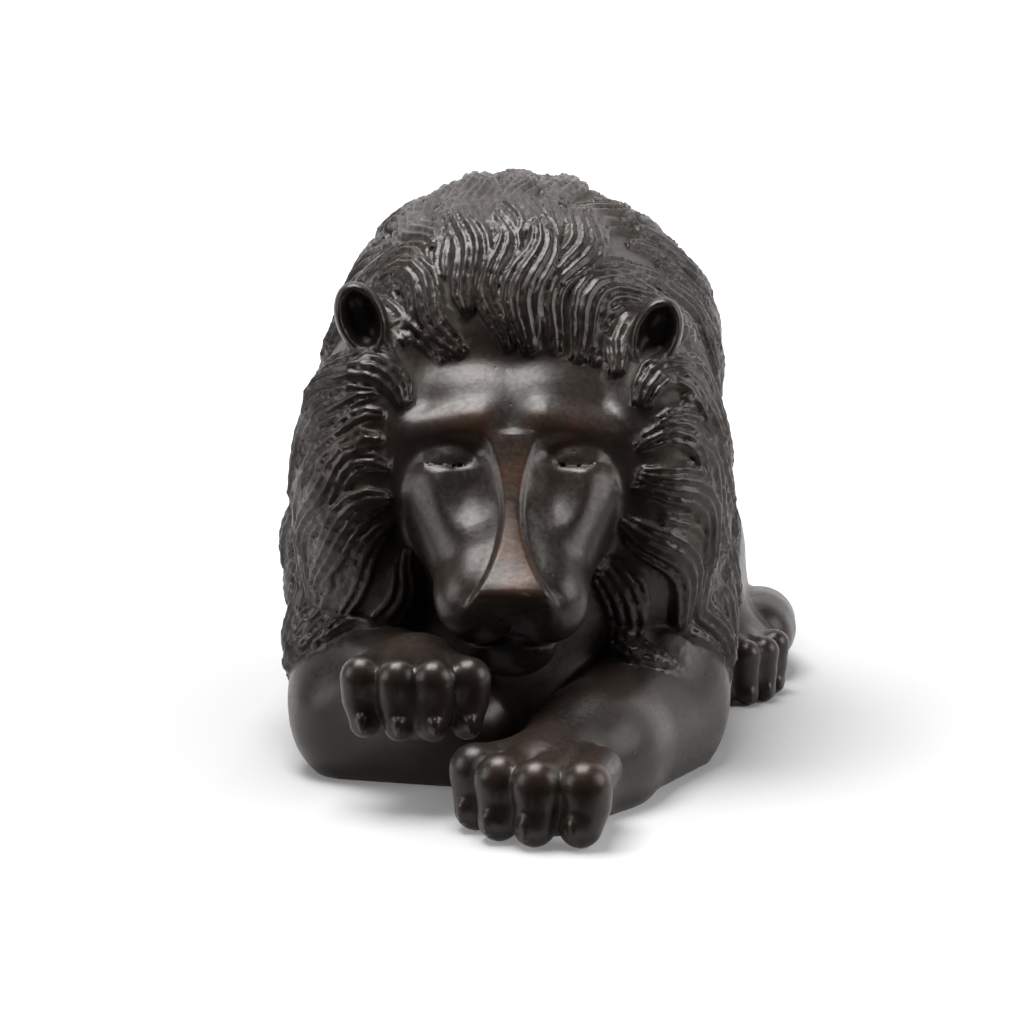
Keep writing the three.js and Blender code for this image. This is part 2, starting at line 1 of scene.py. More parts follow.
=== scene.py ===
"""Looks of a resting lion in cast bronze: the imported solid's figure, its hair combed in strands.

The figure is drawn in millimetres as signed distances, sampled, made into one mesh and set in
the solid's place. Landmarks and driving sizes are those of the solid.
"""
import math

import bpy
import numpy as np
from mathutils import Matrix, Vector


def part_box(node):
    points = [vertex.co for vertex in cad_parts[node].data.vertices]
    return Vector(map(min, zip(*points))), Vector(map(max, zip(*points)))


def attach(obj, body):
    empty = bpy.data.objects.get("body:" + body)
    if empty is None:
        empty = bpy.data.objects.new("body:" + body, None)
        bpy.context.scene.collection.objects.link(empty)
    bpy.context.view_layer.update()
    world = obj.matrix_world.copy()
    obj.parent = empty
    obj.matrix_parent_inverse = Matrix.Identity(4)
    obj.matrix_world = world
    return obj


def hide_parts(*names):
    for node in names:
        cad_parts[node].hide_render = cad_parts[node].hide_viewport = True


FIGURE_HEIGHT = 130.0
HEAD_TURN = math.radians(9)
FACE_LEAN = math.radians(36)
FORE_PAW_PITCH = 8.5
HIND_PAW_PITCH = 5.9
PAW_HEIGHT = 16.6
EAR_HEIGHT = 17.0
TAIL_RADIUS = 6.2

# Hair: width, length and relief of a lock, its strands, and how near its neighbours may be
LOCKS = {"width": 10.5, "length": 38.0, "relief": 3.9, "strands": 4, "room": 0.85}
UNDERCOAT = {"width": 7.0, "length": 34.0, "relief": 2.6, "strands": 3, "room": 0.7}
LOCK_LINKS = 12
LOCK_WAVE = 1.8
LOCK_WAVE_LENGTH = 27.0
STRAND_DEPTH = 1.3
ROOT_SPACING = 1.7
ROOT_RAYS = 4000

# Grid: its spacing at the head and at the rump, and the points in a block along each side
FINE_STEP = 0.5
COARSE_STEP = 1.3
BLOCK = 8
BLOCK_MARGIN = 1.35
BLOCKS_AT_ONCE = 1500
TRIANGLES = 190000

# Bronze and paper, as linear colours
DARK_PATINA = (0.012, 0.009, 0.007, 1)
BROWN_PATINA = (0.026, 0.017, 0.012, 1)
RUBBED_BRONZE = (0.05, 0.023, 0.012, 1)
DUST = (0.05, 0.044, 0.026, 1)
PAPER = (0.47, 0.47, 0.47, 1)
WHITE = (1, 1, 1, 1)

# Camera, in the turned frame of the head
CAMERA_BACK = -464.0
CAMERA_HEIGHT = 131.4
CAMERA_DOWN = math.radians(8)
LENS = 87.9
SENSOR_WIDTH = 36

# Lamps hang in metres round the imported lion, and all shine on its head
LAMPS = [
    {"name": "key", "place": (-0.12, -0.05, 0.75), "size": 0.45, "power": 9.0},
    {"name": "left", "place": (-0.75, -0.35, 0.35), "size": 0.5, "power": 3.0},
    {"name": "right", "place": (0.75, -0.1, 0.4), "size": 0.5, "power": 4.0},
]
LAMPS_AIM = (0, -0.05, 0.06)

# The landmarks are drafted for a figure of this height
DRAFTED_HEIGHT = 130.0
DRAFT = FIGURE_HEIGHT / DRAFTED_HEIGHT
PER_METRE = 1000
GOLDEN_SHARE = (math.sqrt(5) - 1) / 2


def scaled(values):
    return [value * DRAFT for value in values]


def smoothstep(value, low, high):
    share = np.clip((value - low) / (high - low), 0.0, 1.0)
    return share * share * (3 - 2 * share)


def lerp(a, b, share):
    return a + (b - a) * share


# Solids: functions of arrays x, y, z, negative inside


def egg(centre, radii):
    cx, cy, cz = scaled(centre)
    rx, ry, rz = scaled(radii)

    def depth(x, y, z):
        px, py, pz = (x - cx) / rx, (y - cy) / ry, (z - cz) / rz
        far = np.sqrt(px * px + py * py + pz * pz)
        slope = np.sqrt((px / rx) ** 2 + (py / ry) ** 2 + (pz / rz) ** 2) + 1e-9
        return far * (far - 1) / slope

    return depth


def limb(start, start_radius, end, end_radius):
    ax, ay, az = scaled(start)
    bx, by, bz = scaled(end)
    ra, rb = scaled([start_radius, end_radius])
    dx, dy, dz = bx - ax, by - ay, bz - az
    squared = dx * dx + dy * dy + dz * dz

    def depth(x, y, z):
        px, py, pz = x - ax, y - ay, z - az
        along = np.clip((px * dx + py * dy + pz * dz) / squared, 0.0, 1.0)
        ex, ey, ez = px - along * dx, py - along * dy, pz - along * dz
        return np.sqrt(ex * ex + ey * ey + ez * ez) - ra - along * (rb - ra)

    return depth


def soft_min(a, b, softness):
    near = np.maximum(softness - np.abs(a - b), 0.0) / softness
    return np.minimum(a, b) - near * near * softness * 0.25


def soft_max(a, b, softness):
    return -soft_min(-a, -b, softness)


def melt(softness, *parts):
    def depth(x, y, z):
        result = parts[0](x, y, z)
        for part in parts[1:]:
            result = soft_min(result, part(x, y, z), softness * DRAFT)
        return result

    return depth


def carve(softness, solid, *cutters):
    def depth(x, y, z):
        result = solid(x, y, z)
        for cutter in cutters:
            result = soft_max(result, -cutter(x, y, z), softness * DRAFT)
        return result

    return depth


def both_sides(solid):
    return lambda x, y, z: solid(np.abs(x), y, z)


BALL_MARGIN = 16 * DRAFT


def within(centre, radius, solid):
    """Away from a ball round the solid, the distance to the ball stands in for the solid's own."""
    ball = egg(centre, [radius] * 3)

    def depth(x, y, z):
        result = ball(x, y, z)
        near = result <= BALL_MARGIN
        if near.any():
            result[near] = solid(x[near], y[near], z[near])
        return result

    return depth


# Frames: the head and forelegs are turned about the chest, and the face leans back

CHEST_Y = 75 * DRAFT
TURN_COS, TURN_SIN = math.cos(HEAD_TURN), math.sin(HEAD_TURN)
FACE_Y, FACE_Z = scaled([55, 67.5])
LEAN_COS, LEAN_SIN = math.cos(FACE_LEAN), math.sin(FACE_LEAN)


def fore_coordinates(x, y):
    back = y - CHEST_Y
    return x * TURN_COS + back * TURN_SIN, CHEST_Y - x * TURN_SIN + back * TURN_COS


def into_fore(solid):
    return lambda x, y, z: solid(*fore_coordinates(x, y), z)


def fore_to_body(across, back, z):
    return np.array(
        [
            across * TURN_COS - (back - CHEST_Y) * TURN_SIN,
            CHEST_Y + across * TURN_SIN + (back - CHEST_Y) * TURN_COS,
            z,
        ]
    )


def face_coordinates(x, y, z):
    back, rise = y - FACE_Y, z - FACE_Z
    return x, back * LEAN_SIN + rise * LEAN_COS, rise * LEAN_SIN - back * LEAN_COS


def into_face(solid):
    return lambda x, y, z: solid(*face_coordinates(x, y, z))


def face_to_fore(across, up, out):
    return across, FACE_Y + up * LEAN_SIN - out * LEAN_COS, FACE_Z + up * LEAN_COS + out * LEAN_SIN


def smooth_route(points, places):
    """Points on a curve through the given points, at places from 0 to 1."""
    points = np.array(points, float)
    padded = np.vstack([2 * points[0] - points[1], points, 2 * points[-1] - points[-2]])
    spans = len(points) - 1
    out = []
    for place in places:
        n = min(int(place * spans), spans - 1)
        t = place * spans - n
        p0, p1, p2, p3 = padded[n : n + 4]
        square = 2 * p0 - 5 * p1 + 4 * p2 - p3
        cube = 3 * p1 - 3 * p2 + p3 - p0
        out.append(0.5 * (2 * p1 + (p2 - p0) * t + square * t**2 + cube * t**3))
    return out


# Paws


def paw(tip, heading, height, pitch, lead, bend, reach, lift=0.0, taper=0.92):
    """Four toes side by side. The lead toe stands foremost, and the row bends back from it."""
    ahead = math.sin(math.radians(heading)), -math.cos(math.radians(heading))
    spacing, top = pitch / DRAFT, height / DRAFT
    radius = spacing * 0.55
    toes = []
    for i in range(4):

        def at(back, rise, spread=1.0):
            off = (i - 1.5) * spacing * spread
            behind = bend * (i - lead) ** 2 + back
            return [
                tip[0] - ahead[1] * off - ahead[0] * behind,
                tip[1] + ahead[0] * off - ahead[1] * behind,
                lift + rise,
            ]

        pad = at(radius * 1.05, radius * taper, 0.95)
        bend_at = at(radius * 1.35, top * 0.5)
        knuckle = at(radius * 1.2, top - radius * 1.05)
        root = at(radius + reach, top - radius * 1.1, 0.65)
        toe = melt(
            2,
            limb(pad, radius * taper, bend_at, radius * 0.93),
            limb(bend_at, radius * 0.93, knuckle, radius),
            limb(knuckle, radius, root, radius),
        )
        claw_root = at(radius * 0.3, radius * 1.1)
        claw_tip = at(radius * 0.1, radius * 0.55)
        claw = limb(claw_root, radius * 0.34, claw_tip, 0.5)
        toes.append(melt(0.6, toe, claw))
    return melt(1.0, *toes)


# Body and hindquarters

torso = melt(
    14,
    egg([0, 122, 46], [37, 58, 42]),
    egg([0, 152, 58], [36, 46, 37]),
    egg([0, 184, 42], [32, 50, 37]),
    egg([0, 222, 37], [34, 42, 39]),
    egg([0, 150, 18], [30, 92, 30]),
)


def hind_leg(side, knee_y):
    """The lion's left leg has side 1, the right one -1. Both lie folded on the floor."""
    thigh = egg([23, 190, 27], [20.5, 40, 30])
    knee = egg([30, knee_y + 8, 22], [13.5, 17, 18])
    shank = limb([33, knee_y + 12, 18], 12, [33, 222, 10], 9.5)
    foot = melt(
        4,
        limb([36, 218, 8], 8.5, [45, knee_y + 14, 8.5], 7.5),
        limb([45, knee_y + 14, 8.5], 7.5, [47, knee_y + 3, 8.5], 7),
    )
    leg = within([33, 188, 20], 52, melt(7, thigh, knee, shank, foot))
    return lambda x, y, z: leg(side * x, y, z)


def hind_paw(tip, heading, lead):
    toes = paw(tip, heading, PAW_HEIGHT * 0.95, HIND_PAW_PITCH, lead, bend=2.3, reach=13)
    return within([*tip, 8], 20, toes)


def tail():
    route = [
        [0, 252, 38],
        [5, 259, 22],
        [14, 252, 9],
        [27, 243, 7.5],
        [39, 228, 7.5],
        [46, 208, 9],
        [47.5, 190, 12],
        [47.5, 176, 11],
    ]
    places = np.linspace(0, 1, 17)
    points = smooth_route(route, places)
    radii = TAIL_RADIUS / DRAFT * (1.2 - 0.3 * places + 0.6 * smoothstep(places, 0.7, 0.93))
    joined = zip(points, radii, points[1:], radii[1:])
    links = [limb(*start_and_end) for start_and_end in joined]
    return within([28, 215, 15], 62, melt(1.5, *links))


body = melt(
    2,
    melt(5, torso, hind_leg(1, 152), hind_leg(-1, 156)),
    melt(3, hind_paw([51.5, 139], 25, 0.8), hind_paw([-43, 145], -10, 1.5)),
    tail(),
)

# Forelegs, in the turned frame

right_foreleg = melt(
    7,
    limb([-29, 108, 46], 22, [-31, 80, 18], 17),
    limb([-33, 68, 11.5], 15, [-12, 62, 9], 13),
    limb([-31, 74, 17], 15, [-20, 48, 22], 11),
)
raised_toes = paw(
    [-19, 25],
    4,
    PAW_HEIGHT,
    FORE_PAW_PITCH * 0.85,
    1.9,
    bend=1.3,
    reach=13,
    lift=15.2,
    taper=0.8,
)
right_paw = melt(2.5, raised_toes, limb([-19, 37, 22.5], 8.6, [-20, 48, 23], 11))
left_foreleg = melt(
    7,
    limb([29, 108, 46], 22, [29, 82, 20], 18),
    limb([29.5, 78, 11], 18, [17, 44, 9.5], 13),
    limb([17, 44, 9.5], 13, [6, 22, 7], 11.5),
)
left_paw = paw([-1.8, 3.4], -30, PAW_HEIGHT + 0.4, FORE_PAW_PITCH, 1.6, bend=2.1, reach=15)

# Mane and head, in the turned frame

mane_mass = melt(
    9,
    egg([0, 100, 86], [36, 30, 34.5]),
    egg([0, 124, 81], [42, 40, 46]),
    egg([12, 126, 84], [36, 34, 36]),
    both_sides(egg([29, 86, 59], [17.5, 27, 38])),
    egg([0, 84, 44], [30, 24, 28]),
    egg([0, 88, 16], [28, 30, 26]),
)


# The nose bridge is narrowest at its waist and widens with the square of the distance from it
NOSE_WAIST = -9.5
NOSE_FLARE = 0.0133


def nose_bridge(x, up, out):
    from_waist = up / DRAFT - NOSE_WAIST
    half_width = (1.9 + NOSE_FLARE * from_waist**2) * DRAFT
    top = (0.4 + 0.0042 * from_waist**2) * DRAFT
    side = np.abs(x) - half_width - 0.4 * (top - out)
    upper_end = up - 9 * DRAFT
    lower_end = -30.5 * DRAFT - up - 0.35 * (top - out)
    ends = np.maximum(np.maximum(upper_end, lower_end), -4 * DRAFT - out)
    return soft_max(soft_max(0.85 * side, out - top, 1.0 * DRAFT), ends, 2 * DRAFT)


def face():
    skull = melt(
        6,
        egg([0, 13, -20], [24, 21, 20.5]),
        both_sides(limb([12.5, 0, -12.5], 12, [7, -19, -11], 9)),
        both_sides(egg([7, -27, -9], [8.6, 8, 8.8])),
        limb([0, 6, -12], 11, [0, -22, -12], 10),
    )
    forehead = both_sides(egg([6, 19.5, -12], [19, 15, 13.4]))
    brows = both_sides(limb([7, 11.6, -1.8], 4.4, [19, 11.2, -4.8], 4.8))
    chin = egg([0, -31, -20], [9.5, 6.5, 8])
    sockets = both_sides(egg([13, 4.2, 2.9], [8.6, 3.9, 6.4]))
    hollows = both_sides(egg([9.5, -5, 4], [5.6, 9.5, 6.6]))
    lid_at = np.array([13.2, 4.8, -5.4])
    lid_radii = np.array([6.4, 4.3, 4.1])
    lids = both_sides(egg(lid_at, lid_radii))
    crease = both_sides(limb([7.5, 7.4, -2.6], 0.6, [19, 6.8, -4.6], 0.7))
    lash_line = []
    for across in np.linspace(-0.86, 0.86, 8):
        up = -0.7 + 0.5 * across**2
        out = math.sqrt(1 - across**2 - up**2)
        lash_line.append(lid_at + lid_radii * [across, up, out])
    lashes = [limb(a, 0.42, b, 0.42) for a, b in zip(lash_line, lash_line[1:])]
    slits = both_sides(melt(0.2, *lashes))
    mouth = both_sides(limb([0, -34.5, -10.5], 1.2, [12, -31, -17], 1.4))
    carved = carve(3, melt(3, melt(5, skull, forehead), chin), hollows)
    browed = carve(0.8, carve(1.8, melt(3.5, carved, brows), sockets), crease)
    lidded = carve(0.4, melt(1.6, browed, lids), slits)
    return within([0, 0, -12], 34, carve(1, melt(0.7, lidded, nose_bridge), mouth))


LEFT_EAR = [30.8, 73, 94.3]
RIGHT_EAR = [-32.2, 73, 97.6]


def ear(side, centre):
    """A hollow bowl, open to the front, whose top leans outward."""
    lean = math.radians(20)
    tall = EAR_HEIGHT / DRAFT / 2
    bowl = egg([0, 0, 0], [tall * 0.66, 5.6, tall])
    hollow = egg([0, -4.4, 0.3], [tall * 0.48, 5.6, tall * 0.8])
    cup = carve(1, bowl, hollow)
    cx, cy, cz = scaled(centre)

    def turned(x, y, z):
        across, up = side * (x - cx), z - cz
        outward = across * math.cos(lean) - up * math.sin(lean)
        return cup(outward, y - cy, across * math.sin(lean) + up * math.cos(lean))

    return within(centre, 12, turned)


foreparts = melt(
    1.5,
    melt(3.5, mane_mass, into_face(face())),
    within([10, 60, 25], 75, melt(2, left_foreleg, left_paw)),
    within([-28, 65, 25], 65, melt(1.5, right_foreleg, right_paw)),
    melt(1, ear(1, LEFT_EAR), ear(-1, RIGHT_EAR)),
)
figure = melt(5, body, into_fore(foreparts))

# The mane's locks


def unit(v):
    return v / np.linalg.norm(v, axis=-1, keepdims=True)


def slope_at(p, probe=0.5):
    """Unit vectors straight out of the figure, from its depth a probe's length to each side."""
    steps = np.concatenate([np.eye(3), -np.eye(3)]) * probe
    around = (p[None] + steps[:, None]).reshape(-1, 3)
    depth = figure(*around.T).reshape(6, -1)
    return unit((depth[:3] - depth[3:]).T)


NOSE_AT = fore_to_body(*face_to_fore(0, -20 * DRAFT, 8 * DRAFT))


def lie_of_hair(p, combed):
    """Away from the nose, over the crown to the back, and down the sides."""
    normal = slope_at(p)
    way = unit(p - NOSE_AT)
    aside = np.abs(fore_coordinates(p[:, 0], p[:, 1])[0])
    hangs = np.maximum(smoothstep(aside / DRAFT, 12, 32), 1 - smoothstep(p[:, 2] / DRAFT, 50, 80))
    way[:, 1] += 0.5 * smoothstep(normal[:, 2], 0.2, 0.6)
    way[:, 2] -= hangs * (0.4 + 1.5 * smoothstep(combed / DRAFT, 2, 30))
    way -= normal * np.sum(way * normal, axis=1, keepdims=True)
    return normal, unit(way)


def comb_on(p, way, distance):
    """Points moved along the hair and set back on the figure."""
    p = p + way * distance
    return p - slope_at(p) * figure(*p.T)[:, None]


# Half of the hair's edge round the face, from the forehead to beside the chin: across and up
HAIRLINE = [
    [0, 27.5],
    [13, 27],
    [21, 22.5],
    [24.5, 12],
    [24.5, -4],
    [19, -17],
    [16, -28],
    [13, -38],
]
HAIR_EDGE = np.array(smooth_route(HAIRLINE, np.linspace(0, 1, 60)))


def from_ears(p):
    ears = np.array([fore_to_body(*scaled(centre)) for centre in (LEFT_EAR, RIGHT_EAR)])
    return np.linalg.norm(p[:, None] - ears, axis=2).min(axis=1) / DRAFT


def in_mane(p):
    """True above the mane's hem and before its end, off the face and clear of the ears."""
    hem = lerp(47, 68, smoothstep(p[:, 1] / DRAFT, 92, 160)) * DRAFT
    side, up, out = face_coordinates(*fore_coordinates(p[:, 0], p[:, 1]), p[:, 2])
    face_half = np.interp(up / DRAFT, HAIR_EDGE[::-1, 1], HAIR_EDGE[::-1, 0], right=-1)
    on_face = (np.abs(side) / DRAFT < face_half) & (out > -13 * DRAFT)
    return (p[:, 2] > hem) & (p[:, 1] < 172 * DRAFT) & ~on_face & (from_ears(p) > 9)


def cast_onto_figure(at, ray):
    """Points moved along their rays until they meet the figure."""
    for _ in range(30):
        at = at - ray * 0.85 * figure(*at.T)[:, None]
    return at


def places_all_round():
    """Rays spread evenly over a ball round the mane, each ending on the figure."""
    number = np.arange(ROOT_RAYS) + 0.5
    rise = 1 - 2 * number / ROOT_RAYS
    turn = number * math.pi * (3 - math.sqrt(5))
    level = np.sqrt(1 - rise**2)
    outward = np.stack([level * np.cos(turn), level * np.sin(turn), rise], axis=1)
    middle = fore_to_body(*scaled([0, 108, 72]))
    return cast_onto_figure(middle + outward * 95 * DRAFT, outward)


def places_in_front():
    """Rays in rows and columns from before the face, each ending on the figure."""
    columns = np.arange(-52, 53, ROOT_SPACING)
    rows = np.arange(46, 132, ROOT_SPACING)
    across, height = [places.ravel() * DRAFT for places in np.meshgrid(columns, rows)]
    before = fore_to_body(across, np.full_like(across, -10 * DRAFT), height).T
    forward = np.tile([TURN_SIN, -TURN_COS, 0.0], (len(before), 1))
    return cast_onto_figure(before, forward)


def hair_roots():
    """Places over the whole mane, those at its edge round the face first, the rest scattered."""
    at = np.vstack([places_all_round(), places_in_front()])
    at = at[in_mane(at) & (np.abs(figure(*at.T)) < 0.5)]
    edge = [
        fore_to_body(*face_to_fore(mirror * across * DRAFT, up * DRAFT, -8 * DRAFT))
        for mirror in (1, -1)
        for across, up in HAIR_EDGE
    ]
    combed = np.linalg.norm(at[:, None] - np.array(edge), axis=2).min(axis=1)
    scattered = np.argsort((np.arange(len(at)) * GOLDEN_SHARE) % 1)
    at, combed = at[scattered], combed[scattered]
    edge_first = np.argsort(combed > 5 * DRAFT, kind="stable")
    return at[edge_first], combed[edge_first]


def lay_out_locks(roots, combed, hair):
    """Locks take root wherever there is room: half a length before and behind, a width aside."""
    normal, way = lie_of_hair(roots, combed)
    side = np.cross(way, normal)
    kept = []
    for n in range(len(roots)):
        apart = roots[n] - roots[kept]
        reach = np.sqrt(
            (apart @ way[n] / (hair["length"] * 0.53)) ** 2
            + (apart @ side[n] / hair["width"]) ** 2
            + (apart @ normal[n] / hair["width"]) ** 2
        )
        if not (reach < hair["room"]).any():
            kept.append(n)
    return roots[kept], combed[kept]


def lock_paths(roots, combed, hair):
    """Centre, normal, half width and height of every lock at each step along it."""
    stride = hair["length"] / LOCK_LINKS
    number = np.arange(len(roots))
    middle = roots
    path = []
    for i in range(LOCK_LINKS + 1):
        share = i / LOCK_LINKS
        normal, way = lie_of_hair(middle, combed + i * stride)
        side = np.cross(way, normal)
        phase = (combed + i * stride) / LOCK_WAVE_LENGTH * 2 * math.pi + 0.6 * np.sin(number * 2.4)
        # Broadest near its middle and pointed at its end
        swell = math.sin(math.pi * (0.16 + 0.8 * share**0.8))
        point = middle + side * (LOCK_WAVE * np.sin(phase))[:, None]
        # Flat beside the ears and at the floor, and else rising until just before its end
        free = smoothstep(from_ears(point), 6, 10.5) * smoothstep(point[:, 2] / DRAFT, 14, 24)
        lift = (0.45 + 0.55 * share) * min(1, 0.15 + 4 * (1 - share))
        height = hair["relief"] * np.maximum(0.12, lift * free)
        path.append((point, normal, hair["width"] * 0.5 * max(0.2, swell), height))
        middle = comb_on(middle, way, stride)
    return path


# Sampled form


def grid_axes():
    """Grid places along each axis, in whole blocks, fine at the head and coarser at the rump."""
    axes = []
    for axis, (low, high) in enumerate([(-66, 72), (-9, 276), (-FINE_STEP / DRAFT, 137)]):
        place = low * DRAFT
        places = [place]
        while place < high * DRAFT or len(places) % BLOCK:
            rump = float(smoothstep(place / DRAFT, 150, 190)) if axis == 1 else 0.0
            place += lerp(FINE_STEP, COARSE_STEP, rump)
            places.append(place)
        axes.append(np.array(places, np.float32))
    return axes


def sample_figure(axes):
    """The figure's depth at the grid's places, exact near its surface and coarse elsewhere."""
    middles = [places.reshape(-1, BLOCK).mean(axis=1) for places in axes]
    coarse_points = np.meshgrid(*middles, indexing="ij")
    coarse = figure(*[c.ravel() for c in coarse_points]).reshape(coarse_points[0].shape)
    values = coarse.astype(np.float32)
    for axis in range(3):
        values = np.repeat(values, BLOCK, axis=axis)
    widths = [places.reshape(-1, BLOCK)[:, -1] - places.reshape(-1, BLOCK)[:, 0] for places in axes]
    half_diagonal = np.sqrt(sum(w**2 for w in np.meshgrid(*widths, indexing="ij"))) / 2
    near = np.argwhere(np.abs(coarse) < half_diagonal * BLOCK_MARGIN)
    within_block = np.arange(BLOCK)
    for chunk in np.array_split(near, max(1, len(near) // BLOCKS_AT_ONCE)):
        at = [chunk[:, axis, None] * BLOCK + within_block for axis in range(3)]
        shape = (len(chunk), BLOCK, BLOCK, BLOCK)
        points = [
            np.broadcast_to(axes[0][at[0]][:, :, None, None], shape).ravel(),
            np.broadcast_to(axes[1][at[1]][:, None, :, None], shape).ravel(),
            np.broadcast_to(axes[2][at[2]][:, None, None, :], shape).ravel(),
        ]
        depth = figure(*points).reshape(shape)
        values[at[0][:, :, None, None], at[1][:, None, :, None], at[2][:, None, None, :]] = depth
    return values


def add_locks(axes, values, path, combed, hair):
    """Adds every lock to the sampled form, its top combed into strands."""
    for n in range(len(combed)):
        for i in range(LOCK_LINKS):
            points, normals, half_width, heights = path[i]
            next_points, _, next_half_width, next_heights = path[i + 1]
            a, b, normal = points[n], next_points[n], normals[n]
            run = b - a
            length = np.linalg.norm(run)
            side = unit(np.cross(run, normal))
            reach = half_width + FINE_STEP * 3
            low, high = np.minimum(a, b) - reach, np.maximum(a, b) + reach
            first = [np.searchsorted(places, place) for places, place in zip(axes, low)]
            last = [np.searchsorted(places, place) for places, place in zip(axes, high)]
            box = tuple(slice(*ends) for ends in zip(first, last))
            x = (axes[0][box[0]] - a[0])[:, None, None]
            y = (axes[1][box[1]] - a[1])[None, :, None]
            z = (axes[2][box[2]] - a[2])[None, None, :]
            along = np.clip((x * run[0] + y * run[1] + z * run[2]) / length**2, 0, 1)
            x, y, z = x - along * run[0], y - along * run[1], z - along * run[2]
            rise = lerp(heights[n], next_heights[n], along)
            half = lerp(half_width, next_half_width, along)
            across = (x * side[0] + y * side[1] + z * side[2]) / half
            over = (x * normal[0] + y * normal[1] + z * normal[2]) / rise
            ahead = (x * run[0] + y * run[1] + z * run[2]) / length / rise
            depth = (np.sqrt(across**2 + over**2 + ahead**2) - 1) * rise
            place = combed[n] + (i + along) / LOCK_LINKS * hair["length"]
            sway = 0.25 * np.sin(place * 0.2 + n * 1.7)
            strand = (across * 0.5 + 0.5) * hair["strands"] + sway
            groove = 1 - np.abs(np.sin(math.pi * strand))
            depth += STRAND_DEPTH * groove * (0.3 + 0.7 * rise / hair["relief"])
            values[box] = soft_min(values[box], depth.astype(np.float32), 0.4)


def net_surface(axes, values):
    """A vertex to every cell that the surface crosses, and a face round every edge it crosses."""
    counts = values.shape
    inside = values < 0
    owners, crossings, faces = [], [], []
    strides = (counts[1] * counts[2], counts[2], 1)
    for axis in range(3):
        ahead = np.take(inside, range(1, counts[axis]), axis=axis)
        behind = np.take(inside, range(counts[axis] - 1), axis=axis)
        at = np.argwhere(ahead != behind)
        others = [n for n in range(3) if n != axis]
        off_border = [(at[:, n] > 0) & (at[:, n] < counts[n] - 1) for n in others]
        at = at[np.all(off_border, axis=0)]
        beyond = at.copy()
        beyond[:, axis] += 1
        va, vb = values[tuple(at.T)], values[tuple(beyond.T)]
        share = va / (va - vb)
        point = np.stack([axes[n][at[:, n]] for n in range(3)], axis=1)
        point[:, axis] = lerp(point[:, axis], axes[axis][beyond[:, axis]], share)
        cell = at @ np.array(strides)
        u, v = strides[(axis + 1) % 3], strides[(axis + 2) % 3]
        ring = np.stack([cell - u - v, cell - v, cell, cell - u], axis=1)
        ring[va > 0] = ring[va > 0][:, ::-1]
        owners.append(ring.ravel())
        crossings.append(np.repeat(point, 4, axis=0))
        faces.append(ring)
    owners, crossings = np.concatenate(owners), np.concatenate(crossings)
    cells, owner = np.unique(owners, return_inverse=True)
    owner = owner.ravel()
    count = np.bincount(owner)
    vertices = np.stack([np.bincount(owner, crossings[:, n]) / count for n in range(3)], axis=1)
    quads = np.searchsorted(cells, np.concatenate(faces))
    return vertices, quads


def make_mesh(name, vertices, faces):
    mesh = bpy.data.meshes.new(name)
    mesh.vertices.add(len(vertices))
    mesh.vertices.foreach_set("co", np.ascontiguousarray(vertices, np.float32).ravel())
    mesh.loops.add(faces.size)
    mesh.loops.foreach_set("vertex_index", np.ascontiguousarray(faces, np.int32).ravel())
    mesh.polygons.add(len(faces))
    mesh.polygons.foreach_set("loop_start", np.arange(len(faces), dtype=np.int32) * faces.shape[1])
    mesh.update(calc_edges=True)
    return mesh


def thin_out(piece):
    """Puts a decimated mesh in the place of the piece's mesh of quads."""
    dense = piece.data
    thin = piece.modifiers.new("thin", "DECIMATE")
    thin.ratio = TRIANGLES / (2 * len(dense.polygons))
    thinned = piece.evaluated_get(bpy.context.evaluated_depsgraph_get())
    piece.data = bpy.data.meshes.new_from_object(thinned)
    piece.modifiers.clear()
    bpy.data.meshes.remove(dense)


def vertex_vectors(mesh, name):
    vectors = np.empty(len(mesh.vertices) * 3)
    mesh.vertices.foreach_get(name, vectors)
    return vectors.reshape(-1, 3)


def cast_lion(solid):
    """The dressed lion as one piece, and how far it was moved to stand in the solid's place."""
    axes = grid_axes()
    values = sample_figure(axes)
    every_root, every_length = hair_roots()
    for hair in (UNDERCOAT, LOCKS):
        roots, combed = lay_out_locks(every_root, every_length, hair)
        add_locks(axes, values, lock_paths(roots, combed, hair), combed, hair)
    # The lowest layer of the grid lies under the floor and outside the figure
    values[:, :, 0] = 50
    vertices, quads = net_surface(axes, values)
    # What ends within a fifth of a step of the floor is set down on it
    vertices[:, 2] = np.where(vertices[:, 2] < FINE_STEP * 0.2, 0, vertices[:, 2])
    mesh = make_mesh("lion_cast", vertices / PER_METRE, quads)
    piece = bpy.data.objects.new("lion_cast", mesh)
    bpy.context.scene.collection.objects.link(piece)
    thin_out(piece)
    mesh = piece.data
    co = vertex_vectors(mesh, "co") * PER_METRE
    mark_surface(mesh, axes, values, co, vertex_vectors(mesh, "normal"))
    low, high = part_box(solid)
    shift = np.add(low, high) / 2 * PER_METRE - (co.min(axis=0) + co.max(axis=0)) / 2
    shift[2] = 0
    mesh.vertices.foreach_set("co", ((co + shift) / PER_METRE).ravel())
    mesh.polygons.foreach_set("use_smooth", np.ones(len(mesh.polygons), bool))
    mesh.update()
    return piece, shift


def look_up(axes, values, p):
    """The sampled form's value at points, between the samples."""
    at, share = [], []
    for n in range(3):
        index = np.clip(np.searchsorted(axes[n], p[:, n]) - 1, 0, len(axes[n]) - 2)
        before, behind = axes[n][index], axes[n][index + 1]
        at.append(index)
        share.append(np.clip((p[:, n] - before) / (behind - before), 0, 1))
    total = 0
    for corner in range(8):
        steps = [(corner >> n) & 1 for n in range(3)]
        weight = np.prod([share[n] if steps[n] else 1 - share[n] for n in range(3)], axis=0)
        total = total + weight * values[at[0] + steps[0], at[1] + steps[1], at[2] + steps[2]]
    return total


